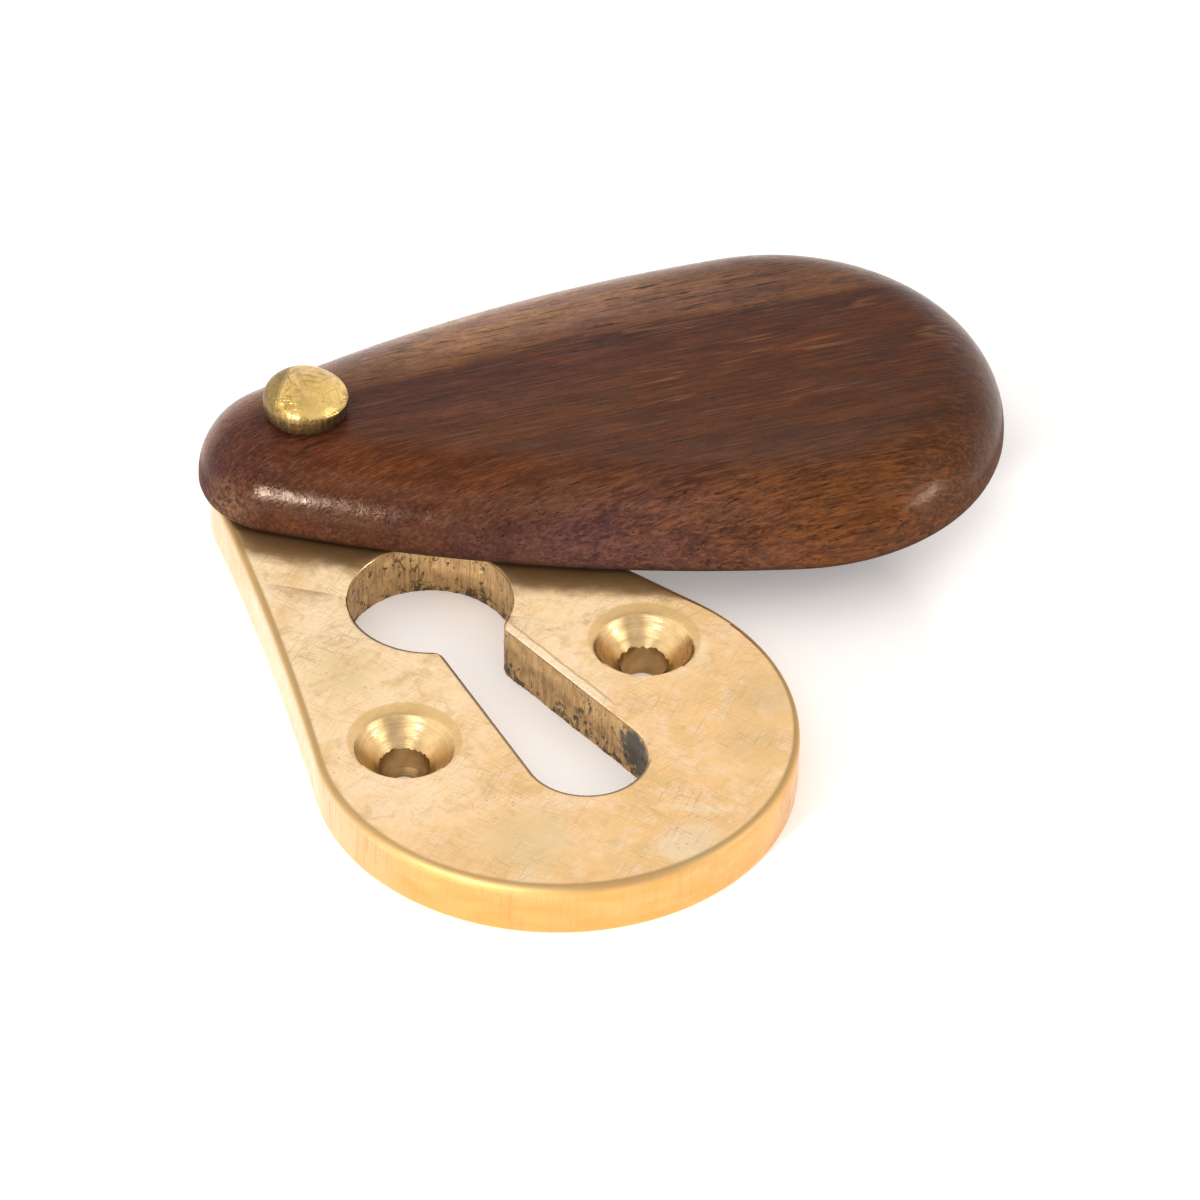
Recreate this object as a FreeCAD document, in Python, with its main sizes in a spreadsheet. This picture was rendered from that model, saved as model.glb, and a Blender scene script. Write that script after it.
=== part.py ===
import FreeCAD, Part

import math
import os

import Sketcher
from FreeCAD import Placement, Rotation, Vector

# Keyhole escutcheon with a swing cover, in millimetres.
# The back of the plate lies on Z = 0 and +Z points out of the door or drawer front.
# The origin is midway between the two screw holes, and +Y runs up towards the pivot.
# The cover is drawn swung open, as it hangs on its rivet.

SIZES = {
    # Back plate: a teardrop of cast brass, round at the bottom and narrow at the pivot.
    "plate_thickness": 3.7,
    "plate_big_radius": 15.1,
    "plate_big_drop": 3.4,
    "plate_small_radius": 6.4,
    "plate_flank_radius": 245.0,
    "plate_edge_radius": 0.6,
    "pivot_rise": 25.4,
    # Keyhole: a round hole for the key's barrel, and a flared slot for its bit.
    "keyhole_radius": 5.2,
    "keyhole_rise": 10.9,
    "slot_end_radius": 3.75,
    "slot_end_drop": 6.8,
    "slot_flare": 6.5,
    "neck_fillet": 0.9,
    "keyhole_rim_chamfer": 0.15,
    # Fixing screws: two countersunk wood screws, on a line across the slot.
    "screw_spacing": 17.8,
    "screw_hole_diameter": 3.1,
    "countersink_diameter": 6.4,
    "countersink_angle": 90.0,
    # Buffing has dragged the rim of each countersink down on one side, in a shallow crescent.
    "crescent_radius": 3.6,
    "crescent_shift": 0.38,
    "crescent_direction": 55.0,
    "crescent_depth": 0.2,
    "crescent_slope": 79.0,
    # Swing cover: a rosewood teardrop, flat below and well rounded above.
    "cover_thickness": 5.6,
    "cover_big_radius": 14.7,
    "cover_small_radius": 5.9,
    "cover_span": 32.1,
    "cover_tip": 1.2,
    "cover_flank_radius": 100.0,
    "cover_top_radius": 4.9,
    "cover_bottom_chamfer": 0.4,
    "swing_open": 66.6,
    # Pivot rivet: a brass pin with a round head, peened into the back of the plate.
    "shank_radius": 1.5,
    "pivot_clearance": 0.05,
    "head_gap": 0.05,
    "head_radius": 2.7,
    "head_side": 0.95,
    "head_dome": 1.7,
    "head_under_chamfer": 0.28,
    "tail_radius": 2.3,
    "tail_depth": 0.8,
}

# Two places closer than this, in millimetres, count as one.
SAME_PLACE = 1e-3


def start_of(curve):
    return curve, 1


def end_of(curve):
    return curve, 2


def centre_of(curve):
    return curve, 3


def sketch_origin():
    return -1, 1


def sketch_vertical_axis():
    return -2


def make_sheet(doc):
    """The driving dimensions, one row each: name, value and alias."""
    sheet = doc.addObject("Spreadsheet::Sheet", "Sizes")
    for row, (name, value) in enumerate(SIZES.items(), start=1):
        sheet.set(f"A{row}", name)
        sheet.set(f"B{row}", str(value))
        sheet.setAlias(f"B{row}", name)
    doc.recompute()
    return sheet


def origin_plane(body, role):
    return next(f for f in body.Origin.OriginFeatures if f.Role == role)


def new_sketch(body, name, plane="XY_Plane", height=None):
    """A sketch on one of the body's own planes, lifted by an expression if one is given."""
    sketch = body.newObject("Sketcher::SketchObject", name)
    sketch.AttachmentSupport = [(origin_plane(body, plane), "")]
    sketch.MapMode = "FlatFace"
    if height:
        sketch.setExpression("AttachmentOffset.Base.z", height)
    return sketch


def drive(sketch, kind, references, value, expression):
    """Adds a dimension to a sketch and ties it to the sheet."""
    index = sketch.addConstraint(Sketcher.Constraint(kind, *references, value))
    sketch.setExpression(f"Constraints[{index}]", expression)


def end_near(sketch, curve, point):
    """The end of a sketch curve that lies at a point."""
    ends = (start_of(curve), end_of(curve))
    return min(ends, key=lambda end: (sketch.getPoint(*end) - point).Length)


def join_smoothly(sketch, joints):
    """Makes each pair of curves meet end to end, tangent, at the point given."""
    for first, second, point in joints:
        first_end = end_near(sketch, first, point)
        second_end = end_near(sketch, second, point)
        sketch.addConstraint(Sketcher.Constraint("Tangent", *first_end, *second_end))


def centre_on_axis(sketch, curve, y, expression):
    """Holds an arc's centre on the vertical axis, at a height measured from the origin."""
    sketch.addConstraint(
        Sketcher.Constraint("PointOnObject", *centre_of(curve), sketch_vertical_axis()))
    drive(sketch, "DistanceY", (*sketch_origin(), *centre_of(curve)), y, expression)


def mirrored(point):
    return Vector(-point.x, point.y, point.z)


def teardrop(sketch, big_radius, small_radius, big_y, small_y, flank_radius, hollow, names):
    """Two round ends joined by long flank arcs that run into both of them smoothly.

    A hollow flank curves inwards and its centre is outside; a full one bulges outwards.
    names gives the sheet expressions for the five sizes, in the same order.
    """
    side = 1 if hollow else -1
    big_centre = Vector(0, big_y, 0)
    small_centre = Vector(0, small_y, 0)
    to_big = flank_radius + side * big_radius
    to_small = flank_radius + side * small_radius
    span = small_y - big_y
    rise = (to_big**2 - to_small**2 + span**2) / (2 * span)
    flank_centre = Vector(side * math.sqrt(to_big**2 - rise**2), big_y + rise, 0)
    low = big_centre + (flank_centre - big_centre) * (side * big_radius / to_big)
    high = small_centre + (flank_centre - small_centre) * (side * small_radius / to_small)
    middle = flank_centre + ((low + high) * 0.5 - flank_centre).normalize() * flank_radius

    big = sketch.addGeometry(
        Part.Arc(mirrored(low), big_centre - Vector(0, big_radius, 0), low))
    right = sketch.addGeometry(Part.Arc(low, middle, high))
    small = sketch.addGeometry(
        Part.Arc(high, small_centre + Vector(0, small_radius, 0), mirrored(high)))
    left = sketch.addGeometry(Part.Arc(mirrored(high), mirrored(middle), mirrored(low)))
    join_smoothly(sketch, [
        (big, right, low),
        (right, small, high),
        (small, left, mirrored(high)),
        (left, big, mirrored(low)),
    ])
    centre_on_axis(sketch, big, big_y, names[2])
    centre_on_axis(sketch, small, small_y, names[3])
    drive(sketch, "Radius", (big,), big_radius, names[0])
    drive(sketch, "Radius", (small,), small_radius, names[1])
    drive(sketch, "Radius", (right,), flank_radius, names[4])
    sketch.addConstraint(Sketcher.Constraint("Equal", right, left))


def keyhole_outline(sketch):
    """The round hole and the slot that flares away from it, with rounded corners at the neck."""
    round_radius = SIZES["keyhole_radius"]
    end_radius = SIZES["slot_end_radius"]
    corner = SIZES["neck_fillet"]
    flare = math.radians(SIZES["slot_flare"])
    round_centre = Vector(0, SIZES["keyhole_rise"], 0)
    end_centre = Vector(0, -SIZES["slot_end_drop"], 0)
    along = Vector(-math.sin(flare), math.cos(flare), 0)
    outward = Vector(math.cos(flare), math.sin(flare), 0)

    # The corner's centre is one corner radius off the slot's side, and clear of the round hole.
    foot = end_centre + outward * end_radius
    gap = foot + outward * corner - round_centre
    half = gap.dot(along)
    travel = -half - math.sqrt(half**2 - gap.dot(gap) + (round_radius + corner)**2)
    corner_centre = foot + outward * corner + along * travel
    neck_low = corner_centre - outward * corner
    to_corner = (corner_centre - round_centre).normalize()
    neck_high = round_centre + to_corner * round_radius
    corner_middle = corner_centre - (outward + to_corner).normalize() * corner

    top = sketch.addGeometry(
        Part.Arc(neck_high, round_centre + Vector(0, round_radius, 0), mirrored(neck_high)))
    right_corner = sketch.addGeometry(Part.Arc(neck_low, corner_middle, neck_high))
    right_side = sketch.addGeometry(Part.LineSegment(foot, neck_low))
    bottom = sketch.addGeometry(
        Part.Arc(mirrored(foot), end_centre - Vector(0, end_radius, 0), foot))
    left_side = sketch.addGeometry(Part.LineSegment(mirrored(foot), mirrored(neck_low)))
    left_corner = sketch.addGeometry(
        Part.Arc(mirrored(neck_low), mirrored(corner_middle), mirrored(neck_high)))
    join_smoothly(sketch, [
        (top, right_corner, neck_high),
        (right_corner, right_side, neck_low),
        (right_side, bottom, foot),
        (bottom, left_side, mirrored(foot)),
        (left_side, left_corner, mirrored(neck_low)),
        (left_corner, top, mirrored(neck_high)),
    ])
    centre_on_axis(sketch, top, round_centre.y, "Sizes.keyhole_rise")
    centre_on_axis(sketch, bottom, end_centre.y, "-Sizes.slot_end_drop")
    drive(sketch, "Radius", (top,), round_radius, "Sizes.keyhole_radius")
    drive(sketch, "Radius", (bottom,), end_radius, "Sizes.slot_end_radius")
    drive(sketch, "Radius", (right_corner,), corner, "Sizes.neck_fillet")
    sketch.addConstraint(Sketcher.Constraint("Equal", right_corner, left_corner))
    drive(sketch, "Angle", (right_side,), math.pi / 2 + flare, "90 + Sizes.slot_flare")
    drive(sketch, "Angle", (left_side,), math.pi / 2 - flare, "90 - Sizes.slot_flare")


def pad(body, sketch, name, length):
    feature = body.newObject("PartDesign::Pad", name)
    feature.Profile = sketch
    feature.setExpression("Length", length)
    return feature


def dress_edges(body, kind, name, chosen):
    """A fillet or chamfer on the edges of the body's newest feature that the test picks."""
    body.Document.recompute()
    base = body.Tip
    edges = [f"Edge{i}" for i, edge in enumerate(base.Shape.Edges, start=1) if chosen(edge)]
    feature = body.newObject(kind, name)
    feature.Base = (base, edges)
    return feature


def round_edges(body, name, chosen, radius):
    dress_edges(body, "PartDesign::Fillet", name, chosen).setExpression("Radius", radius)


def chamfer_edges(body, name, chosen, size):
    dress_edges(body, "PartDesign::Chamfer", name, chosen).setExpression("Size", size)


def lies_at(edge, z):
    box = edge.BoundBox
    return abs(box.ZMin - z) < SAME_PLACE and abs(box.ZMax - z) < SAME_PLACE


def is_ring(edge, radius):
    return isinstance(edge.Curve, Part.Circle) and abs(edge.Curve.Radius - radius) < SAME_PLACE


def drill(body, name, sketch, diameter, cut_diameter, cut_angle, from_below=False):
    """Drills right through at each circle of a sketch, and countersinks the mouth."""
    body.Document.recompute()
    hole = body.newObject("PartDesign::Hole", name)
    hole.Profile = sketch
    hole.ThreadType = "None"
    hole.DepthType = "ThroughAll"
    hole.DrillPoint = "Flat"
    hole.Reversed = from_below
    hole.HoleCutType = "Countersink"
    hole.HoleCutCustomValues = True
    hole.setExpression("Diameter", diameter)
    hole.setExpression("HoleCutDiameter", cut_diameter)
    hole.setExpression("HoleCutCountersinkAngle", cut_angle)
    return hole


def drill_marks(sketch, marks, diameter, expression):
    """Circles that mark where holes go; each mark is x, y and their sheet expressions."""
    for x, y, x_expression, y_expression in marks:
        circle = sketch.addGeometry(Part.Circle(Vector(x, y, 0), Vector(0, 0, 1), diameter / 2))
        drive(sketch, "Diameter", (circle,), diameter, expression)
        if x_expression:
            drive(sketch, "DistanceX", (*sketch_origin(), *centre_of(circle)), x, x_expression)
        else:
            sketch.addConstraint(Sketcher.Constraint(
                "PointOnObject", *centre_of(circle), sketch_vertical_axis()))
        drive(sketch, "DistanceY", (*sketch_origin(), *centre_of(circle)), y, y_expression)


def make_crescents(body):
    """Shallow tapered cuts, off centre, that leave a crescent on one side of each countersink."""
    direction = math.radians(SIZES["crescent_direction"])
    x_shift = SIZES["crescent_shift"] * math.cos(direction)
    y_shift = SIZES["crescent_shift"] * math.sin(direction)
    x_expression = "Sizes.crescent_shift * cos(Sizes.crescent_direction)"
    y_expression = "Sizes.crescent_shift * sin(Sizes.crescent_direction)"
    half_spacing = SIZES["screw_spacing"] / 2
    centres = new_sketch(body, "crescent_centres", height="Sizes.plate_thickness")
    drill_marks(
        centres,
        [(-half_spacing + x_shift, y_shift, f"-Sizes.screw_spacing / 2 + {x_expression}",
          y_expression),
         (half_spacing + x_shift, y_shift, f"Sizes.screw_spacing / 2 + {x_expression}",
          y_expression)],
        2 * SIZES["crescent_radius"], "2 * Sizes.crescent_radius")
    cut = body.newObject("PartDesign::Pocket", "crescents")
    cut.Profile = centres
    cut.setExpression("Length", "Sizes.crescent_depth")
    cut.setExpression("TaperAngle", "-Sizes.crescent_slope")


def make_back_plate(doc):
    """The brass plate: cast outline and keyhole, two screw holes, and the rivet's hole."""
    body = doc.addObject("PartDesign::Body", "back_plate")
    body.Label = "back_plate"
    thickness = SIZES["plate_thickness"]

    outline = new_sketch(body, "plate_outline")
    teardrop(
        outline,
        SIZES["plate_big_radius"],
        SIZES["plate_small_radius"],
        -SIZES["plate_big_drop"],
        SIZES["pivot_rise"],
        SIZES["plate_flank_radius"],
        True,
        ("Sizes.plate_big_radius", "Sizes.plate_small_radius", "-Sizes.plate_big_drop",
         "Sizes.pivot_rise", "Sizes.plate_flank_radius"),
    )
    pad(body, outline, "plate_pad", "Sizes.plate_thickness")
    round_edges(body, "plate_edge", lambda edge: lies_at(edge, thickness),
                "Sizes.plate_edge_radius")

    keyhole = new_sketch(body, "keyhole_outline", height="Sizes.plate_thickness")
    keyhole_outline(keyhole)
    pocket = body.newObject("PartDesign::Pocket", "keyhole")
    pocket.Profile = keyhole
    pocket.Type = "ThroughAll"
    keyhole_half = max(SIZES["keyhole_radius"], SIZES["slot_end_radius"]) + SAME_PLACE
    keyhole_top = SIZES["keyhole_rise"] + SIZES["keyhole_radius"] + SAME_PLACE
    chamfer_edges(
        body, "keyhole_rim",
        lambda edge: lies_at(edge, thickness) and edge.BoundBox.YMax < keyhole_top
        and max(abs(edge.BoundBox.XMin), abs(edge.BoundBox.XMax)) < keyhole_half,
        "Sizes.keyhole_rim_chamfer")

    half_spacing = SIZES["screw_spacing"] / 2
    screws = new_sketch(body, "screw_centres", height="Sizes.plate_thickness")
    drill_marks(
        screws,
        [(-half_spacing, 0, "-Sizes.screw_spacing / 2", None),
         (half_spacing, 0, "Sizes.screw_spacing / 2", None)],
        SIZES["screw_hole_diameter"], "Sizes.screw_hole_diameter")
    drill(body, "screw_holes", screws, "Sizes.screw_hole_diameter",
          "Sizes.countersink_diameter", "Sizes.countersink_angle")
    make_crescents(body)

    pivot = new_sketch(body, "pivot_centre")
    pivot_diameter = 2 * (SIZES["shank_radius"] + SIZES["pivot_clearance"])
    drill_marks(
        pivot,
        [(0, SIZES["pivot_rise"], None, "Sizes.pivot_rise")],
        pivot_diameter, "2 * (Sizes.shank_radius + Sizes.pivot_clearance)")
    drill(body, "pivot_hole", pivot, "2 * (Sizes.shank_radius + Sizes.pivot_clearance)",
          "2 * Sizes.tail_radius",
          "2 * atan((Sizes.tail_radius - Sizes.shank_radius) / Sizes.tail_depth)",
          from_below=True)
    return body


def make_swing_cover(doc):
    """The wooden cover, drawn about its own pivot and then swung open on the plate."""
    body = doc.addObject("PartDesign::Body", "swing_cover")
    body.Label = "swing_cover"

    outline = new_sketch(body, "cover_outline")
    teardrop(
        outline,
        SIZES["cover_big_radius"],
        SIZES["cover_small_radius"],
        SIZES["cover_tip"] - SIZES["cover_span"],
        SIZES["cover_tip"],
        SIZES["cover_flank_radius"],
        False,
        ("Sizes.cover_big_radius", "Sizes.cover_small_radius",
         "Sizes.cover_tip - Sizes.cover_span", "Sizes.cover_tip", "Sizes.cover_flank_radius"),
    )
    pad(body, outline, "cover_pad", "Sizes.cover_thickness")
    round_edges(body, "cover_top_edge", lambda edge: lies_at(edge, SIZES["cover_thickness"]),
                "Sizes.cover_top_radius")
    chamfer_edges(body, "cover_bottom_edge", lambda edge: lies_at(edge, 0),
                  "Sizes.cover_bottom_chamfer")

    centre = new_sketch(body, "cover_pivot_centre")
    diameter = 2 * (SIZES["shank_radius"] + SIZES["pivot_clearance"])
    bore = centre.addGeometry(Part.Circle(Vector(0, 0, 0), Vector(0, 0, 1), diameter / 2))
    centre.addConstraint(Sketcher.Constraint("Coincident", *centre_of(bore), *sketch_origin()))
    drive(centre, "Diameter", (bore,), diameter,
          "2 * (Sizes.shank_radius + Sizes.pivot_clearance)")
    pocket = body.newObject("PartDesign::Pocket", "cover_pivot_hole")
    pocket.Profile = centre
    pocket.Type = "ThroughAll"
    pocket.Reversed = True

    body.Placement = Placement(
        Vector(0, SIZES["pivot_rise"], SIZES["plate_thickness"]),
        Rotation(Vector(0, 0, 1), SIZES["swing_open"]))
    body.setExpression("Placement.Base.y", "Sizes.pivot_rise")
    body.setExpression("Placement.Base.z", "Sizes.plate_thickness")
    body.setExpression("Placement.Rotation.Angle", "Sizes.swing_open")
    return body


def make_pivot_rivet(doc):
    """The turned rivet: a flared tail flush with the plate's back, a shank and a round head."""
    body = doc.addObject("PartDesign::Body", "pivot_rivet")
    body.Label = "pivot_rivet"
    shank = SIZES["shank_radius"]
    tail = SIZES["tail_radius"]
    head = SIZES["head_radius"]
    seat = SIZES["plate_thickness"] + SIZES["cover_thickness"] + SIZES["head_gap"]
    rim = seat + SIZES["head_side"]
    crown = rim + SIZES["head_dome"]

    # The half section, drawn on the XZ plane from the middle of the tail round to the crown.
    section = new_sketch(body, "rivet_section", "XZ_Plane")
    corners = [
        Vector(0, 0, 0),
        Vector(tail, 0, 0),
        Vector(shank, SIZES["tail_depth"], 0),
        Vector(shank, seat, 0),
        Vector(head, seat, 0),
        Vector(head, rim, 0),
        Vector(0, crown, 0),
    ]
    sagitta = SIZES["head_dome"]
    dome_radius = (head**2 + sagitta**2) / (2 * sagitta)
    half_chord = head / 2
    dome_middle = Vector(
        half_chord, crown - dome_radius + math.sqrt(dome_radius**2 - half_chord**2), 0)
    straight = [section.addGeometry(Part.LineSegment(first, second))
                for first, second in zip(corners[:5], corners[1:6])]
    tail_face, tail_cone, shank_side, head_seat, head_band = straight
    dome = section.addGeometry(Part.Arc(corners[5], dome_middle, corners[6]))
    axis = section.addGeometry(Part.LineSegment(corners[6], corners[0]))

    outline = [*straight, dome, axis]
    for first, second, corner in zip(outline, outline[1:] + outline[:1], corners[1:] + corners[:1]):
        meet(section, first, second, corner)
    section.addConstraint(
        Sketcher.Constraint("Coincident", *start_of(tail_face), *sketch_origin()))
    section.addConstraint(Sketcher.Constraint("Horizontal", tail_face))
    section.addConstraint(Sketcher.Constraint("Horizontal", head_seat))
    section.addConstraint(Sketcher.Constraint("Vertical", shank_side))
    section.addConstraint(Sketcher.Constraint("Vertical", axis))
    section.addConstraint(
        Sketcher.Constraint("PointOnObject", *centre_of(dome), sketch_vertical_axis()))
    seat_expression = "Sizes.plate_thickness + Sizes.cover_thickness + Sizes.head_gap"
    for kind, point, value, expression in (
            ("DistanceX", end_of(tail_face), tail, "Sizes.tail_radius"),
            ("DistanceX", start_of(shank_side), shank, "Sizes.shank_radius"),
            ("DistanceX", end_of(head_band), head, "Sizes.head_radius"),
            ("DistanceY", end_of(tail_cone), SIZES["tail_depth"], "Sizes.tail_depth"),
            ("DistanceY", start_of(head_seat), seat, seat_expression),
            ("DistanceY", end_of(head_band), rim, f"{seat_expression} + Sizes.head_side"),
            ("DistanceY", start_of(axis), crown,
             f"{seat_expression} + Sizes.head_side + Sizes.head_dome")):
        drive(section, kind, (*sketch_origin(), *point), value, expression)

    turned = body.newObject("PartDesign::Revolution", "rivet_turned")
    turned.Profile = section
    turned.ReferenceAxis = (section, ["V_Axis"])
    turned.Angle = 360
    chamfer_edges(body, "rivet_head_underside",
                  lambda edge: lies_at(edge, seat) and is_ring(edge, head),
                  "Sizes.head_under_chamfer")

    body.Placement = Placement(Vector(0, SIZES["pivot_rise"], 0), Rotation())
    body.setExpression("Placement.Base.y", "Sizes.pivot_rise")
    return body


def meet(sketch, first, second, point):
    """Makes two curves meet end to end at a point, with a corner."""
    first_end = end_near(sketch, first, point)
    second_end = end_near(sketch, second, point)
    sketch.addConstraint(Sketcher.Constraint("Coincident", *first_end, *second_end))


def check(doc, bodies):
    """Stops before anything is written if the model has failed anywhere."""
    for item in doc.Objects:
        if "Invalid" in item.State or "Error" in item.State:
            raise RuntimeError(f"{item.Name} failed: {item.State}")
    for body in bodies:
        shape = body.Shape
        if shape.isNull() or not shape.isValid() or len(shape.Solids) != 1:
            raise RuntimeError(f"{body.Label} is not one sound solid")


def main():
    doc = FreeCAD.newDocument("keyhole_escutcheon")
    make_sheet(doc)
    bodies = [make_back_plate(doc), make_swing_cover(doc), make_pivot_rivet(doc)]
    doc.recompute()
    check(doc, bodies)
    os.makedirs("parts", exist_ok=True)
    for body in bodies:
        body.Shape.exportStep(f"parts/{body.Label}.step")
        print(f"{body.Label}: {body.Shape.Volume:.2f} mm3")


main()
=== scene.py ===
import math

import bmesh
import bpy
import numpy as np
from mathutils import Matrix, Vector, noise
from mathutils.geometry import delaunay_2d_cdt


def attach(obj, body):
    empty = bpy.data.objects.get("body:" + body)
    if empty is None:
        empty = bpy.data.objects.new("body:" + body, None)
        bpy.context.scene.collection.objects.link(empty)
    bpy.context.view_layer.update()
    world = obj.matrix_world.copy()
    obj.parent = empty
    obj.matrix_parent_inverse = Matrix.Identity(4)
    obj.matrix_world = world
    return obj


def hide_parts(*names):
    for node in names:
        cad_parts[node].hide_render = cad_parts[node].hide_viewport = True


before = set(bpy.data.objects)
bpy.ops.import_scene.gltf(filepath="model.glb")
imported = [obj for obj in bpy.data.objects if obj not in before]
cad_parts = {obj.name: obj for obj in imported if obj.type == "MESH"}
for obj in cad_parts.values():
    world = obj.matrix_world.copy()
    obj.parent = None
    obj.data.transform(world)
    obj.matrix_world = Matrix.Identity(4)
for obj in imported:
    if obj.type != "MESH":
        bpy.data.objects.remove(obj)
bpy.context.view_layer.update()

# Everything is drawn in millimetres, in the part's own frame, and scaled to metres at the end.
MM = 0.001

# Plate
THICKNESS = 3.7
BIG_RADIUS, BIG_Y = 15.1, -3.4
SMALL_RADIUS, PIVOT_Y = 6.4, 25.4
PLATE_FLANK = 245.0
EDGE_ROUND = 0.6
KEY_RADIUS, KEY_Y = 5.2, 10.9
SLOT_RADIUS, SLOT_Y = 3.75, -6.8
SLOT_FLARE = math.radians(6.5)
NECK_ROUND = 0.9
KEY_RIM = 0.17
PLATE_CHAMFER = 0.12
# The keyhole's rough walls: how many pits they have, and the middle of their dark stain
PIT_COUNT = 150
STAIN = (3.2, -7.0, 2.1)
# The slot's rolled lip, painted as a highlight: the way across it, where it starts and how wide it
# is
LIP_WAY = (0.993, 0.117, 0.0)
LIP_LINE, LIP_WIDTH = 3.135, 0.62
SCREW_X, SCREW_RADIUS, SINK_RADIUS = 8.9, 1.55, 3.2
# Across the screw holes, towards their near side
NEAR_WAY = (-0.569, -0.822, 0.0)
# Buffing has dragged a shallow crescent beside each countersink
CRESCENT_RADIUS = 3.6
CRESCENT_SHIFT = 0.38 * np.array([math.cos(math.radians(55)), math.sin(math.radians(55))])
CRESCENT_RISE = math.tan(math.radians(11))
# Rings of points about each countersink, so that its crescent is smooth
SINK_RINGS = (3.38, 3.6, 3.85, 4.15)
# Dull places on the polished face: centre, reach and colour
HAZES = (
    ((-8.34, 7.74), 2.4, (0.76, 0.54, 0.27)),
    ((12.39, -8.44), 2.4, (0.70, 0.47, 0.23)),
    ((9.02, -11.42), 2.0, (0.78, 0.50, 0.23)),
    ((-7.65, -11.58), 3.0, (0.76, 0.56, 0.30)),
    ((1.03, -17.18), 2.4, (0.84, 0.66, 0.44)),
)
BORE_RADIUS, BORE_EDGE = 1.55, 0.05
TAIL_RADIUS, TAIL_DEPTH = 2.3, 0.8
# The plate's materials
POLISHED, CAST, MACHINED, DRILLED = range(4)

# Cover
COVER_THICKNESS = 5.6
COVER_BIG, COVER_SMALL = 14.7, 5.9
COVER_TIP, COVER_SPAN = 1.2, 32.1
COVER_FLANK = 100.0
# Half the cover's width over the plate, as a curve of the distance along the cover
COVER_WIDTH = (7.0228, -0.42484, -0.0057646)
COVER_ROUND = 4.9
COVER_FOOT = 0.4
# The rounded top nearly meets the bore, and keeps this rim about it
BORE_RIM = 0.03
SWING = math.radians(66.6)
# The middle of the scuff at the narrow end
TIP_SCUFF = (-6.6, 24.3, 4.9)
# The grain's lean from the cover's middle line, and the pivot's place across the grain
GRAIN = math.radians(8.7)
GRAIN_X = 24.57

# Rivet
SHANK_RADIUS = 1.5
HEAD_SEAT, HEAD_RIM, HEAD_CROWN = 9.35, 10.4, 12.0
HEAD_RADIUS, HEAD_FOOT = 2.74, 2.57
HEAD_CENTRE = (-0.26, PIVOT_Y - 0.22, HEAD_RIM)
# The hammered cap on the dome: a flatter sphere, leaning a little
CAP_LEAN = Vector((0.09, -0.10, 0.99)).normalized()
CAP_RADIUS, CAP_REACH = 3.95, 1.56
CAP_EDGE, CAP_BLEND = 0.55, 0.02
# The cap is painted brightest on this side, a painted highlight
HIGHLIGHT_WAY = (0.36, -0.93, 0.0)
# A crease crosses the head on the left; beyond it the metal is dull
CREASE_WAY, CREASE_REACH = (-0.669, 0.743, 0.0), 1.33

# Meshes
# How far the outlines stand inside the true ones, so that no chord error leaves the box
INSET = 0.006
# Steps along the outlines of the plate, the keyhole and the cover
PLATE_STEP, KEY_STEP, COVER_STEP = 0.4, 0.13, 0.3
# Sides of the screw holes, of the bores and of the rivet
HOLE_SIDES, BORE_SIDES, RIVET_SIDES = 96, 64, 160

# Studio, in metres
FLOOR_HALF, FLOOR_DROP = 1.5, 2e-5
LAMP_TARGET, LAMP_DISTANCE = (0.011, 0.0086, 0.004), 0.5
# Lights in the sky: azimuth, elevation, cosines at the rim and at the core, share, level, blend
SOFT_BOXES = (
    (-58, 48, 0.955, 0.99, 1.0, 2.4, "MIX"),
    (43, 36, 0.955, 0.99, 1.0, 2.4, "MIX"),
    (-20, 52, 0.86, 0.96, 0.35, 1.3, "LIGHTEN"),
    (-125, 42, 0.75, 0.95, 1.0, 1.2, "MIX"),
)

# Camera, fitted to the outlines in the photograph, with its target and distance in millimetres
CAMERA_AZIMUTH, CAMERA_ELEVATION, CAMERA_ROLL = -34.673, 39.909, 1.239
CAMERA_TARGET, CAMERA_DISTANCE = (11.418, 8.588, 0), 415.881
CAMERA_LENS, CAMERA_SENSOR = 195, 36


def arc(centre, radius, first, last, step, bulge=1):
    """Points along an arc without its last one, and their normals; bulge is -1 where it caves in."""
    count = max(3, round(abs(last - first) * radius / step))
    angles = np.linspace(first, last, count + 1)[:-1]
    ray = np.stack([np.cos(angles), np.sin(angles)], 1)
    return np.array(centre) + radius * ray, bulge * ray


def line(start, end, normal, step):
    """Points along a straight line without its last one, and their normal."""
    start, end = np.array(start), np.array(end)
    count = max(2, round(np.linalg.norm(end - start) / step))
    along = np.linspace(0, 1, count + 1)[:-1, None]
    return start + (end - start) * along, np.tile(normal, (count, 1))


def mirrored(piece):
    """The same curve on the other side of the vertical axis, walked the other way round."""
    points, normals = piece
    flip = np.array([-1, 1])
    return points[::-1] * flip, normals[::-1] * flip


def joined(pieces):
    """One curve made of several, with its normals."""
    return tuple(np.concatenate(parts) for parts in zip(*pieces))


def closed_half(piece, last, last_normal):
    """Swaps a curve's first point for its last, so that its mirror image joins up."""
    points, normals = piece
    return np.vstack([points[1:], last]), np.vstack([normals[1:], last_normal])


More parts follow.
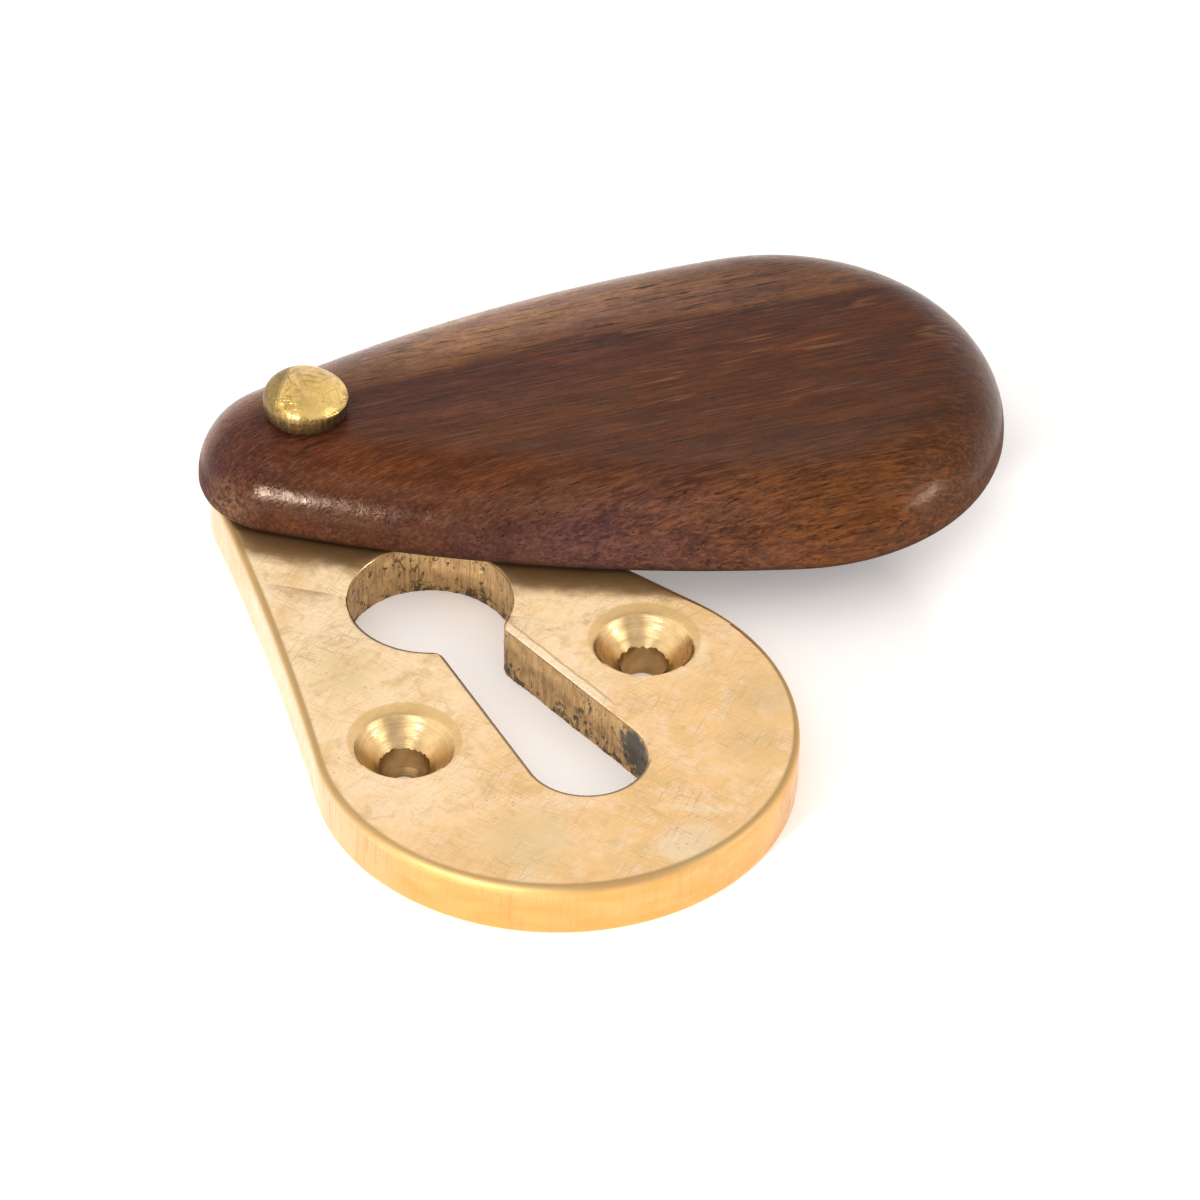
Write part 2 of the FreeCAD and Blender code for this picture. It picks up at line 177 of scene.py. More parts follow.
def teardrop(big_y, big, small_y, small, flank, hollow, step):
    """A teardrop outline, anticlockwise, with its outward normals."""
    side = 1 if hollow else -1
    to_big, to_small = flank + side * big, flank + side * small
    span = small_y - big_y
    rise = (to_big**2 - to_small**2 + span**2) / (2 * span)
    centre = np.array([side * math.sqrt(to_big**2 - rise**2), big_y + rise])
    low = math.atan2(side * (centre[1] - big_y), side * centre[0])
    high = math.atan2(side * (centre[1] - small_y), side * centre[0])
    turn = math.pi if hollow else 0
    right = arc(centre, flank, low + turn, high + turn, step, -side)
    high_ray = np.array([math.cos(high), math.sin(high)])
    end = np.array([0, small_y]) + small * high_ray
    return joined([
        arc((0, big_y), big, math.pi - low, 2 * math.pi + low, step),
        right,
        arc((0, small_y), small, high, math.pi - high, step),
        mirrored(closed_half(right, end, high_ray)),
    ])


def keyhole(step):
    """The keyhole's outline, anticlockwise, with normals that point into the metal."""
    out = np.array([math.cos(SLOT_FLARE), math.sin(SLOT_FLARE)])
    along = np.array([-out[1], out[0]])
    round_centre, slot_centre = np.array([0, KEY_Y]), np.array([0, SLOT_Y])
    foot = slot_centre + out * SLOT_RADIUS
    gap = foot + out * NECK_ROUND - round_centre
    half = gap @ along
    travel = -half - math.sqrt(half**2 - gap @ gap + (KEY_RADIUS + NECK_ROUND)**2)
    corner = foot + out * NECK_ROUND + along * travel
    neck = math.atan2(corner[1] - KEY_Y, corner[0])
    side = line(foot, corner - out * NECK_ROUND, out, step)
    turn = arc(corner, NECK_ROUND, SLOT_FLARE + math.pi, neck + math.pi, step, -1)
    right = joined([side, turn])
    ray = np.array([math.cos(neck), math.sin(neck)])
    end = round_centre + KEY_RADIUS * ray
    return joined([
        arc(slot_centre, SLOT_RADIUS, math.pi - SLOT_FLARE, 2 * math.pi + SLOT_FLARE, step),
        right,
        arc(round_centre, KEY_RADIUS, neck, math.pi - neck, step),
        mirrored(closed_half(right, end, ray)),
    ])


def ring(centre, radius, count):
    """A circle of points, and its outward normals."""
    return arc(centre, radius, 0, 2 * math.pi, 2 * math.pi * radius / count)


def at_height(points, z):
    """Plane points lifted to one height, or to one height each."""
    return np.column_stack([points, np.broadcast_to(z, len(points))])


def inside(points, loops):
    """Which points lie inside an odd number of closed loops."""
    x, y = points[:, 0, None], points[:, 1, None]
    result = np.zeros(len(points), bool)
    for loop in loops:
        a, b = loop, np.roll(loop, -1, 0)
        crosses = (a[:, 1] > y) != (b[:, 1] > y)
        with np.errstate(divide="ignore", invalid="ignore"):
            at = a[:, 0] + (y - a[:, 1]) * (b[:, 0] - a[:, 0]) / (b[:, 1] - a[:, 1])
        result ^= (crosses & (x < at)).sum(1) % 2 == 1
    return result


def clear_of(points, loops, distance):
    """Drops the points that are nearer to a loop than a distance."""
    keep = np.ones(len(points), bool)
    for loop in loops:
        for block in np.array_split(np.arange(len(points)), 12):
            gaps = points[block, None] - loop[None]
            keep[block] &= (gaps**2).sum(2).min(1) > distance**2
    return points[keep]


def level(z):
    """The height of a flat face, for Sheet.cap."""
    return lambda plane: np.full(len(plane), z)


def grain_noise(points, scale, seed=0.0):
    """Smooth noise, one value a point; scale is the size of its waves on each axis."""
    offset = np.array([seed, seed * 1.7, seed * 0.6])
    return np.array([noise.noise(Vector(p)) for p in points / np.array(scale) + offset])


class Sheet:
    """Collects the faces of one closed piece, in millimetres."""

    def __init__(self):
        self.points, self.faces, self.slots, self.count = [], [], [], 0

    def add(self, points, faces, slot):
        self.points.append(points)
        self.faces += [[index + self.count for index in face] for face in faces]
        self.slots += [slot] * len(faces)
        self.count += len(points)

    def strip(self, rows, slot=0):
        """Quads between closed rows of equally many points."""
        columns = len(rows[0])
        faces = []
        for row in range(len(rows) - 1):
            for column in range(columns):
                following = (column + 1) % columns
                faces.append((row * columns + column, row * columns + following,
                              (row + 1) * columns + following, (row + 1) * columns + column))
        self.add(np.concatenate(rows), faces, slot)

    def cap(self, loops, spacing, height, slot=0, extra=()):
        """Fills the space between closed loops; its own points are a loose grid and extra rings."""
        flat = [loop[:, :2] for loop in loops]
        low, high = flat[0].min(0), flat[0].max(0)
        columns, rows = (int(n) for n in (high - low) / spacing)
        grid = np.stack(np.meshgrid(np.arange(columns + 2), np.arange(rows + 2)), -1)
        grid = grid.reshape(-1, 2).astype(float)
        grid[:, 0] += 0.5 * (grid[:, 1] % 2)
        grid = low + grid * spacing
        grid = grid[inside(grid, flat)]
        grid = clear_of(grid, [*flat, *extra], spacing * 0.6)
        free = np.concatenate([grid, *extra])
        coords = np.concatenate([*flat, free])
        known = np.concatenate(loops)
        edges, start = [], 0
        for loop in flat:
            size = len(loop)
            edges += [(start + i, start + (i + 1) % size) for i in range(size)]
            start += size
        verts, _, faces, origins, _, _ = delaunay_2d_cdt(
            [Vector(p) for p in coords], edges, [], 0, 1e-6)
        plane = np.array([tuple(v) for v in verts])
        points = np.column_stack([plane, height(plane)])
        for index, origin in enumerate(origins):
            if origin and origin[0] < len(known):
                points[index] = known[origin[0]]
        faces = np.array([tuple(face) for face in faces])
        middle = plane[faces].mean(1)
        self.add(points, faces[inside(middle, flat)].tolist(), slot)

    def build(self, name, materials, body, node, move=Matrix.Identity(4), sharp=35):
        points = np.concatenate(self.points) * MM
        mesh = bpy.data.meshes.new(name)
        mesh.from_pydata(points.tolist(), [], self.faces)
        for material in materials:
            mesh.materials.append(material)
        mesh.polygons.foreach_set("material_index", self.slots)
        shape = bmesh.new()
        shape.from_mesh(mesh)
        bmesh.ops.remove_doubles(shape, verts=shape.verts, dist=2e-6)
        bmesh.ops.dissolve_degenerate(shape, edges=shape.edges, dist=1e-7)
        bmesh.ops.recalc_face_normals(shape, faces=shape.faces)
        for edge in shape.edges:
            if len(edge.link_faces) == 2:
                edge.smooth = edge.calc_face_angle() < math.radians(sharp)
        for face in shape.faces:
            face.smooth = True
        shape.transform(move)
        shape.to_mesh(mesh)
        shape.free()
        piece = bpy.data.objects.new(name, mesh)
        bpy.context.scene.collection.objects.link(piece)
        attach(piece, body)
        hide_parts(node)
        return piece


def plate_top(plane):
    """Height of the polished face, with the crescents that buffing has dragged."""
    depth = np.zeros(len(plane))
    for x in (-SCREW_X, SCREW_X):
        gap = np.linalg.norm(plane - CRESCENT_SHIFT - (x, 0), axis=1)
        depth = np.maximum(depth, (CRESCENT_RADIUS - gap) * CRESCENT_RISE)
    return THICKNESS - depth


def plate_outside(sheet):
    """The plate's side wall and rounded top edge. Returns its lowest and highest rows."""
    points, normals = teardrop(BIG_Y, BIG_RADIUS - INSET, PIVOT_Y, SMALL_RADIUS - INSET,
                               PLATE_FLANK, True, PLATE_STEP)
    rows = [at_height(points - normals * PLATE_CHAMFER, 0), at_height(points, PLATE_CHAMFER)]
    rows += [at_height(points, z) for z in np.linspace(0.8, THICKNESS - EDGE_ROUND, 4)]
    for angle in np.radians(np.linspace(0, 90, 9))[1:]:
        rows.append(at_height(points - normals * EDGE_ROUND * (1 - math.cos(angle)),
                              THICKNESS - EDGE_ROUND * (1 - math.sin(angle))))
    sheet.strip(rows, POLISHED)
    return rows[0], rows[-1]


def plate_keyhole(sheet):
    """The keyhole's walls, left rough from the casting. Returns its lowest and highest rows."""
    points, normals = keyhole(KEY_STEP)
    rng = np.random.default_rng(11)
    heights = np.linspace(0, THICKNESS - KEY_RIM, 28)
    rows = []
    pits = rng.choice(len(points), PIT_COUNT)
    pit_heights = rng.uniform(0.1, THICKNESS - 0.5, PIT_COUNT)
    pit_sizes = rng.uniform(0.08, 0.3, PIT_COUNT)
    for z in heights:
        spot = at_height(points, z)
        rough = (grain_noise(spot, (1.1, 1.1, 2.2), 3) * 0.07
                 + grain_noise(spot, (0.35, 0.35, 1.1), 8) * 0.045
                 + grain_noise(spot, (0.18, 0.18, 0.3), 15) * 0.03)
        for pit, height, size in zip(pits, pit_heights, pit_sizes):
            gap = np.linalg.norm(spot - (*points[pit], height), axis=1)
            rough += 0.35 * size * np.clip(1 - (gap / size)**2, 0, 1)
        fade = np.clip((THICKNESS - KEY_RIM - z) / 0.5, 0, 1)
        rows.append(at_height(points + normals * (rough * fade)[:, None], z))
    for angle in np.radians([30, 60, 90]):
        ring_points = points + normals * KEY_RIM * (1 - math.cos(angle))
        rows.append(at_height(ring_points, THICKNESS - KEY_RIM * (1 - math.sin(angle))))
    sheet.strip(rows[:-3], CAST)
    sheet.strip(rows[-4:], POLISHED)
    return rows[0], rows[-1]


def plate_screw_hole(sheet, x):
    """A drilled and countersunk screw hole. Returns its lowest and highest rows."""
    rays = ring((x, 0), 1.0, HOLE_SIDES)[1]
    centre = np.array([x, 0])
    cone_foot = THICKNESS - (SINK_RADIUS - SCREW_RADIUS)
    ragged = (grain_noise(at_height(rays * 2.2, 0), (1, 1, 1), 5 + x) * 0.09
              + grain_noise(at_height(rays * 6.0, 0), (1, 1, 1), 2 + x) * 0.10)
    burr = grain_noise(at_height(rays * 2.2, 0), (1, 1, 1), 9 + x) * 0.1 - 0.17
    # The left hole's burr stands further in on the far side
    if x < 0:
        burr -= 0.24 * np.clip(-(rays @ NEAR_WAY[:2]), 0, 1)
    burr = burr[:, None]
    rows = [at_height(centre + rays * (SCREW_RADIUS + burr), 0),
            at_height(centre + rays * (SCREW_RADIUS + burr * 0.8), 0.12)]
    rows += [at_height(centre + rays * SCREW_RADIUS, z)
             for z in np.linspace(0.5, cone_foot - 0.3, 4)]
    edge = SCREW_RADIUS + ragged
    rows.append(np.column_stack([centre + rays * edge[:, None], cone_foot + ragged]))
    sheet.strip(rows, DRILLED)
    # The cone ends where it meets the face, which lies lower in the crescent
    rim = np.full(len(rays), SINK_RADIUS)
    for _ in range(12):
        rim = SINK_RADIUS - (THICKNESS - plate_top(centre + rays * rim[:, None]))
    cone = [rows[-1]]
    for share in np.linspace(0, 1, 15)[1:]:
        reach = edge + (rim - edge) * share
        cone.append(np.column_stack([centre + rays * reach[:, None],
                                     THICKNESS - SINK_RADIUS + reach]))
    sheet.strip(cone, MACHINED)
    return rows[0], cone[-1]


def build_plate(materials):
    """The whole plate, from its walls, holes and two flat faces."""
    sheet = Sheet()
    outside_low, outside_high = plate_outside(sheet)
    key_low, key_high = plate_keyhole(sheet)
    left_low, left_high = plate_screw_hole(sheet, -SCREW_X)
    right_low, right_high = plate_screw_hole(sheet, SCREW_X)
    rays = ring((0, PIVOT_Y), 1.0, BORE_SIDES)[1]
    bore = [at_height((0, PIVOT_Y) + rays * radius, z) for radius, z in
            ((TAIL_RADIUS, 0), (SHANK_RADIUS, TAIL_DEPTH), (BORE_RADIUS, TAIL_DEPTH + BORE_EDGE),
             (BORE_RADIUS, THICKNESS - BORE_EDGE), (BORE_RADIUS + BORE_EDGE, THICKNESS))]
    sheet.strip(bore, POLISHED)
    extra = [ring((x, 0), radius, HOLE_SIDES)[0]
             for x in (-SCREW_X, SCREW_X) for radius in SINK_RINGS]
    sheet.cap([outside_high, key_high, left_high, right_high, bore[-1]], spacing=0.55,
              height=plate_top, extra=extra)
    sheet.cap([outside_low, key_low, left_low, right_low, bore[0]], spacing=1.2,
              height=level(0.0))
    return sheet.build("plate_casting", materials, "plate", "back_plate")


def build_cover(material):
    """The swing cover, made at the pivot and then swung open over the plate."""
    sheet = Sheet()
    points, normals = teardrop(COVER_TIP - COVER_SPAN, COVER_BIG - INSET, COVER_TIP,
                               COVER_SMALL - INSET, COVER_FLANK, False, COVER_STEP)
    rows = [at_height(points - normals * inset, z) for inset, z in
            ((COVER_FOOT, 0), (COVER_FOOT * 0.55, 0.07), (COVER_FOOT * 0.2, 0.2), (0, 0.45))]
    for angle in np.radians(np.linspace(0, 90, 19)):
        rows.append(at_height(points - normals * COVER_ROUND * (1 - math.cos(angle)),
                              COVER_THICKNESS - COVER_ROUND * (1 - math.sin(angle))))
    reach = np.linalg.norm(rows[-1][:, :2], axis=1, keepdims=True)
    rows[-1][:, :2] *= np.maximum(1, (BORE_RADIUS + BORE_RIM) / reach)
    sheet.strip(rows)
    hole = ring((0, 0), BORE_RADIUS, BORE_SIDES)[0]
    bore = [at_height(hole, z) for z in (0, COVER_THICKNESS / 2, COVER_THICKNESS)]
    sheet.strip(bore)
    sheet.cap([rows[-1], bore[-1]], spacing=0.6, height=level(COVER_THICKNESS))
    sheet.cap([rows[0], bore[0]], spacing=1.6, height=level(0.0))
    move = (Matrix.Translation(Vector((0, PIVOT_Y, THICKNESS)) * MM)
            @ Matrix.Rotation(SWING, 4, "Z"))
    return sheet.build("cover_rosewood", [material], "cover", "swing_cover", move)


def hammered(point):
    """Moves a point of the dome in to the leaning cap, where the cap lies lower."""
    centre = Vector(HEAD_CENTRE)
    ray = Vector(point) - centre
    far = ray.length
    ray.normalize()
    back = CAP_REACH - CAP_RADIUS
    along = back * (CAP_LEAN @ ray)
    reach = along + math.sqrt(max(along**2 - back**2 + CAP_RADIUS**2, 0))
    share = min(max(0.5 + 0.5 * (reach - far) / CAP_BLEND, 0), 1)
    length = reach + (far - reach) * share - CAP_BLEND * share * (1 - share)
    return centre + ray * length


def build_rivet(material):
    """The rivet, turned about its axis and then a little uneven from the hammer."""
    profile = [(0, 0), (1.2, 0), (TAIL_RADIUS - 0.1, 0), (TAIL_RADIUS, 0.02),
               (SHANK_RADIUS, TAIL_DEPTH), (SHANK_RADIUS, 4.5), (SHANK_RADIUS, HEAD_SEAT - 0.05)]
    shank_rows = len(profile)
    profile += [(HEAD_FOOT - 0.12, HEAD_SEAT), (HEAD_FOOT - 0.03, HEAD_SEAT + 0.03)]
    for share in np.linspace(0.08, 1, 9):
        profile.append((HEAD_FOOT + (HEAD_RADIUS - HEAD_FOOT) * math.sin(share * math.pi / 2),
                        HEAD_SEAT + (HEAD_RIM - HEAD_SEAT) * share))
    for angle in np.radians(np.linspace(0, 90, 41))[1:]:
        profile.append((HEAD_RADIUS * math.cos(angle)**0.92,
                        HEAD_RIM + (HEAD_CROWN - HEAD_RIM) * math.sin(angle)**0.92))
    rays = ring((0, 0), 1.0, RIVET_SIDES)[1]
    rows = []
    for index, (radius, z) in enumerate(profile):
        centre = (0, PIVOT_Y) if index < shank_rows else HEAD_CENTRE[:2]
        row = at_height(centre + rays * max(radius, 1e-4), z)
        if z > HEAD_RIM:
            row = np.array([hammered(point) for point in row])
            share = (z - HEAD_RIM) / (HEAD_CROWN - HEAD_RIM)
            row[:, 2] -= share * (0.03 + 0.05 * grain_noise(row, (1.5, 1.5, 1.5), 2))
        rows.append(row)
    sheet = Sheet()
    sheet.strip(rows)
    return sheet.build("rivet_head", [material], "plate", "pivot_rivet", sharp=50)


class Graph:
    """A small helper that writes shader nodes."""

    def __init__(self, tree):
        self.tree = tree
        tree.nodes.clear()

    def add(self, kind, sockets=None, **settings):
        node = self.tree.nodes.new("ShaderNode" + kind)
        for name, value in settings.items():
            setattr(node, name, value)
        for name, value in (sockets or {}).items():
            self.feed(node.inputs[name], value)
        return node

    def feed(self, socket, value):
        """Links a socket to a node, or sets its own number or colour."""
        if isinstance(value, bpy.types.NodeSocket):
            self.tree.links.new(value, socket)
        elif socket.type == "RGBA":
            socket.default_value = (*value, 1)
        else:
            socket.default_value = value

    def math(self, operation, a, b=0.0):
        node = self.add("Math", operation=operation)
        self.feed(node.inputs[0], a)
        self.feed(node.inputs[1], b)
        return node.outputs[0]

    def plus(self, a, b):
        return self.math("ADD", a, b)

    def minus(self, a, b):
        return self.math("SUBTRACT", a, b)

    def times(self, a, b):
        return self.math("MULTIPLY", a, b)

    def most(self, a, b):
        return self.math("MAXIMUM", a, b)

    def least(self, a, b):
        return self.math("MINIMUM", a, b)

    def absolute(self, value):
        return self.math("ABSOLUTE", value)

    def mapped(self, value, low, high, to_low=0.0, to_high=1.0):
        """A value that runs from low to high, kept within to_low and to_high."""
        node = self.add("MapRange", {"Value": value, "From Min": low, "From Max": high,
                                     "To Min": to_low, "To Max": to_high})
        return node.outputs[0]

    def xyz(self, vector):
        return self.add("SeparateXYZ", {"Vector": vector}).outputs

    def distance(self, vector, point):
        return self.add("VectorMath", {0: vector, 1: point}, operation="DISTANCE").outputs["Value"]

    def dot(self, vector, way):
        return self.add("VectorMath", {0: vector, 1: tuple(way)},
                        operation="DOT_PRODUCT").outputs["Value"]

    def along(self, vector, way, start):
        """How far a place lies along a way, counted from a start."""
        return self.minus(self.dot(vector, way), Vector(way) @ Vector(start))

    def noise(self, vector, scale, detail=2.0, roughness=0.5, distortion=0.0):
        return self.add("TexNoise", {"Vector": vector, "Scale": scale, "Detail": detail,
                                     "Roughness": roughness, "Distortion": distortion}).outputs[0]

    def grained(self, stretch, detail=2.0, roughness=0.5, distortion=0.0,
                turn=0.0, shift=(0, 0, 0)):
        """Noise whose waves have their own size in millimetres on each turned axis."""
        return self.noise(self.millimetres(turn, stretch, shift), 1.0, detail, roughness, distortion)

    def scratches(self, turns, length, width, detail, roughness, low, high):
        """Fine straight lines; turns holds the angle and the seed of each set."""
        found = 0.0
        for turn, seed in turns:
            lines = self.grained((length, width, length), detail, roughness,
                                 turn=turn, shift=(seed, seed, 0))
            found = self.most(found, self.mapped(lines, low, high))
        return found

    def mix(self, share, a, b, blend="MIX"):
        node = self.add("Mix", data_type="RGBA", blend_type=blend)
        self.feed(node.inputs[0], share)
        self.feed(node.inputs[6], a)
        self.feed(node.inputs[7], b)
        return node.outputs[2]

    def ramp(self, share, stops):
        node = self.add("ValToRGB", {"Fac": share})
        elements = node.color_ramp.elements
        while len(elements) < len(stops):
            elements.new(1.0)
        for element, (position, colour) in zip(elements, stops):
            element.position = position
            element.color = (*colour, 1)
        return node.outputs[0]

    def tinted(self, colour, value, low, high, stops):
        """A colour times the tint that a value has on a ramp from low to high."""
        return self.mix(1.0, colour, self.ramp(self.mapped(value, low, high), stops), "MULTIPLY")

    def bump(self, height, strength, distance, normal=None):
        sockets = {"Height": height, "Strength": strength, "Distance": distance}
        if normal:
            sockets["Normal"] = normal
        return self.add("Bump", sockets).outputs[0]

    def millimetres(self, turn=0.0, stretch=(1, 1, 1), shift=(0, 0, 0)):
        """Object coordinates in millimetres, turned about Z and then stretched."""
        coords = self.add("TexCoord").outputs["Object"]
        turned = self.add("VectorRotate", {"Vector": coords, "Axis": (0, 0, 1), "Angle": -turn})
        scale = tuple(1 / (MM * s) for s in stretch)
        return self.add("Mapping", {"Vector": turned.outputs[0], "Scale": scale,
                                    "Location": shift}).outputs[0]

    def surface(self, sockets):
        shader = self.add("BsdfPrincipled", sockets)
        self.add("OutputMaterial", {"Surface": shader.outputs[0]})


def new_material(name):
    material = bpy.data.materials.new(name)
    material.use_nodes = True
    return material, Graph(material.node_tree)


def buffed_colour(g, place, patches, smudge):
    """The plate's face: paler towards the upper left, more golden towards the lower right."""
    cloud = g.noise(place, 0.13, 4, 0.55, 0.5)
    lie = g.plus(g.dot(place, (0.012, -0.05, 0.0)), g.times(cloud, 1.2))
    colour = g.ramp(g.mapped(lie, 0.0, 1.2), [
        (0.0, (1.0, 0.74, 0.45)), (0.5, (1.0, 0.69, 0.39)), (1.0, (0.93, 0.57, 0.26))])
    colour = g.mix(g.mapped(patches, 0.5, 0.66, 0.0, 0.7), colour, (0.82, 0.53, 0.235))
    colour = g.mix(g.mapped(patches, 0.47, 0.32, 0.0, 0.7), colour, (1.0, 0.78, 0.52))
    blush = g.noise(place, 0.6, 6, 0.7, 0.3)
    colour = g.mix(g.mapped(blush, 0.52, 0.6, 0.0, 0.5), colour, (0.98, 0.68, 0.45))
    colour = g.mix(g.mapped(blush, 0.46, 0.36, 0.0, 0.35), colour, (0.84, 0.58, 0.28))
    colour = g.mix(g.mapped(smudge, 0.54, 0.66, 0.0, 0.55), colour, (0.70, 0.47, 0.22))
    fine = g.noise(place, 3.0, 3, 0.6)
    colour = g.mix(g.mapped(fine, 0.5, 0.75, 0.0, 0.35), colour, (0.74, 0.49, 0.24))
    for centre, reach, tint in HAZES:
        haze = g.plus(g.distance(place, (*centre, THICKNESS)), g.times(patches, 6.0))
        haze = g.mapped(haze, reach + 3.6, reach + 1.4, 0.0, 0.6)
        colour = g.mix(haze, colour, tint)
    # Dark specks lie in the first of the dull places, and here and there
    speckle = g.add("TexVoronoi", {"Vector": place, "Scale": 1.9, "Randomness": 1.0}).outputs[0]
    patch = g.most(g.mapped(g.distance(place, (*HAZES[0][0], THICKNESS)), 3.8, 1.5),
                   g.mapped(g.noise(place, 0.2, 2), 0.6, 0.68))
    dots = g.times(g.mapped(speckle, 0.2, 0.05), patch)
    return g.mix(g.times(dots, 0.6), colour, (0.33, 0.22, 0.09))


def slot_lip_highlight(g, place, colour):
    """The slot's right edge is rolled over into a lip with a painted highlight, and a dark groove
    beside it.
    """
    y = g.xyz(place)[1]
    beside = g.minus(g.dot(place, LIP_WAY), LIP_LINE)
    beside = g.plus(beside, g.times(g.noise(place, 0.6, 2), 0.3))
    along = g.times(g.mapped(y, -4.2, -3.4), g.mapped(y, 6.3, 5.8))
    groove = g.times(g.mapped(g.absolute(g.minus(beside, LIP_WIDTH)), 0.12, 0.03), along)
    lip_highlight = g.times(g.mapped(beside, 0.6, 0.45), g.mapped(beside, -0.4, -0.2))
    # Painted highlight along the rolled lip
    colour = g.mix(g.times(g.times(lip_highlight, along), 0.6), colour, (1.0, 0.84, 0.60))
    return g.mix(g.times(groove, 0.6), colour, (0.42, 0.27, 0.12))


def painted_rim_reflection(g, place, keyside, colour):
    """A painted dark reflection on the near side of the keyhole's rim, and on a thin line of the
    face along it.
    """
    x, y, z = g.xyz(place)
    near = g.times(g.mapped(x, -0.8, -1.2), g.mapped(y, 12.5, 11.5))
    near = g.times(g.most(near, g.mapped(y, -9.0, -9.6)), keyside)
    slotside = g.most(g.mapped(g.absolute(x), 4.8, 4.7), g.mapped(y, 5.0, 5.2))
    rim = g.mapped(g.absolute(g.minus(z, THICKNESS - 0.13)), 0.12, 0.07)
    rim = g.times(near, g.times(slotside, rim))
    colour = g.mix(g.times(rim, 0.9), colour, (0.10, 0.065, 0.035))
    # The line keeps its distance from the round hole, the slot's flanks and its round end
    round_gap = g.minus(g.distance(place, (0, KEY_Y, THICKNESS)), KEY_RADIUS)
    end_gap = g.minus(g.distance(place, (0, SLOT_Y, THICKNESS)), SLOT_RADIUS)
    flank_gap = g.dot(place, (-math.cos(SLOT_FLARE), math.sin(SLOT_FLARE), 0.0))
    flank_gap = g.minus(flank_gap, SLOT_RADIUS + SLOT_Y * math.sin(SLOT_FLARE))
    below = g.mapped(y, SLOT_Y, SLOT_Y - 0.1)
    slot_gap = g.plus(g.times(end_gap, below), g.times(flank_gap, g.minus(1.0, below)))
    edge = g.mapped(g.least(round_gap, slot_gap), KEY_RIM + 0.11, KEY_RIM + 0.04)
    return g.mix(g.times(g.times(edge, near), 0.8), colour, (0.16, 0.10, 0.05))


def beyond_cover(g, place):
    """How far a place on the plate lies beyond the cover's edge."""
    local = g.add("VectorRotate", {"Vector": place, "Center": (0, PIVOT_Y, 0), "Axis": (0, 0, 1),
                                   "Angle": -SWING}).outputs[0]
    x, y, _ = g.xyz(local)
    y = g.minus(y, PIVOT_Y)
    width = g.plus(g.times(g.times(y, y), COVER_WIDTH[2]), g.times(y, COVER_WIDTH[1]))
    return g.minus(g.minus(g.times(x, -1.0), width), COVER_WIDTH[0])


